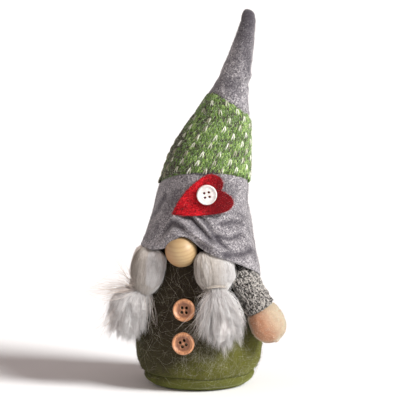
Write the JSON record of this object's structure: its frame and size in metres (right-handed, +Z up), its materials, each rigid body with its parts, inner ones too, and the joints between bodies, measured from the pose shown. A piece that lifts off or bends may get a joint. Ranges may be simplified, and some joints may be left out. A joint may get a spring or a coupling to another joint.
{
  "type": "plush gnome figurine",
  "caption": "Standing plush gnome with a tall felt and knit hat, fur braids, stubby arms, a wooden bead nose, a felt heart and wooden coat buttons.",
  "frame": {"origin": "middle of the flat base, on the surface that the gnome stands on", "axes": "+Z up to the hat's tip, -Y is the gnome's front, +X is the gnome's own left"},
  "size_m": [0.1469, 0.1114, 0.3],
  "materials": {
    "grey_felt": "brushed wool felt, matt",
    "green_knit": "chunky jacquard knit with pale flecks, matt",
    "red_felt": "pressed felt, matt",
    "pale_button": "polished, off-white",
    "nose_wood": "turned and sanded, satin",
    "button_wood": "turned, oiled, satin",
    "olive_plush": "short dark olive velvet pile",
    "green_plush": "short moss green velvet pile",
    "tweed": "black and white boucle tweed, matt",
    "peach_fleece": "brushed fleece, matt",
    "white_fur": "long soft fake fur",
    "tie_thread": "twisted cotton thread",
    "stuffing": "loose polyester fibre",
    "wire": "soft annealed wire",
    "card": "plain grey board",
    "pellet_cloth": "plain cotton bag"
  },
  "bodies": {
    "gnome_body": {"base_panel": "green_plush", "base_disc": "card", "pellet_bag": "pellet_cloth", "body_cover": "olive_plush", "body_stuffing": "stuffing", "hat_brim": "grey_felt", "hat_knit_band": "green_knit", "hat_tip_base": "grey_felt", "hat_stuffing": "stuffing", "hat_wire_lower": "wire", "heart_applique": "red_felt", "heart_button": "pale_button", "nose_ball": "nose_wood", "coat_button_upper": "button_wood", "coat_button_lower": "button_wood"},
    "hat_tip": {"hat_tip": "grey_felt", "hat_tip_stuffing": "stuffing", "hat_wire_upper": "wire"},
    "left_arm": {"left_sleeve": "tweed", "left_arm_stuffing": "stuffing", "left_hand": "peach_fleece"},
    "left_braid": {"left_braid_strand_inner": "white_fur", "left_braid_strand_outer": "white_fur", "left_braid_tie": "tie_thread"},
    "left_tuft": {"left_braid_tuft": "white_fur"},
    "right_arm": {"right_sleeve": "tweed", "right_arm_stuffing": "stuffing", "right_hand": "peach_fleece"},
    "right_braid": {"right_braid_strand_inner": "white_fur", "right_braid_strand_outer": "white_fur", "right_braid_tie": "tie_thread"},
    "right_tuft": {"right_braid_tuft": "white_fur"}
  },
  "joints": [
    {"name": "hat_tip_bend", "type": "hinge", "parent": "gnome_body", "child": "hat_tip", "pos_m": [0.02792, 0, 0.243], "axis": [0, 1, 0], "range_deg": [-20, 20]},
    {"name": "left_arm_lift", "type": "hinge", "parent": "gnome_body", "child": "left_arm", "pos_m": [0.04206, -0.02628, 0.0925], "axis": [-0.4883, -0.7815, -0.3883], "range_deg": [0, 25]},
    {"name": "left_braid_lift", "type": "hinge", "parent": "gnome_body", "child": "left_braid", "pos_m": [0.02279, -0.04111, 0.107], "axis": [-0.8729, -0.4838, -0.0634], "range_deg": [0, 25]},
    {"name": "left_tuft_lift", "type": "hinge", "parent": "left_braid", "child": "left_tuft", "pos_m": [0.02697, -0.04494, 0.07865], "axis": [-0.8557, -0.5136, -0.0635], "range_deg": [0, 40]},
    {"name": "right_arm_lift", "type": "hinge", "parent": "gnome_body", "child": "right_arm", "pos_m": [-0.04404, 0.02148, 0.0925], "axis": [0.4343, 0.8903, -0.1368], "range_deg": [0, 25]},
    {"name": "right_braid_lift", "type": "hinge", "parent": "gnome_body", "child": "right_braid", "pos_m": [-0.02933, -0.03622, 0.1065], "axis": [-0.7669, 0.621, 0.1621], "range_deg": [0, 25]},
    {"name": "right_tuft_lift", "type": "hinge", "parent": "right_braid", "child": "right_tuft", "pos_m": [-0.03709, -0.03751, 0.07472], "axis": [-0.6748, 0.6673, 0.3152], "range_deg": [0, 40]}
  ]
}
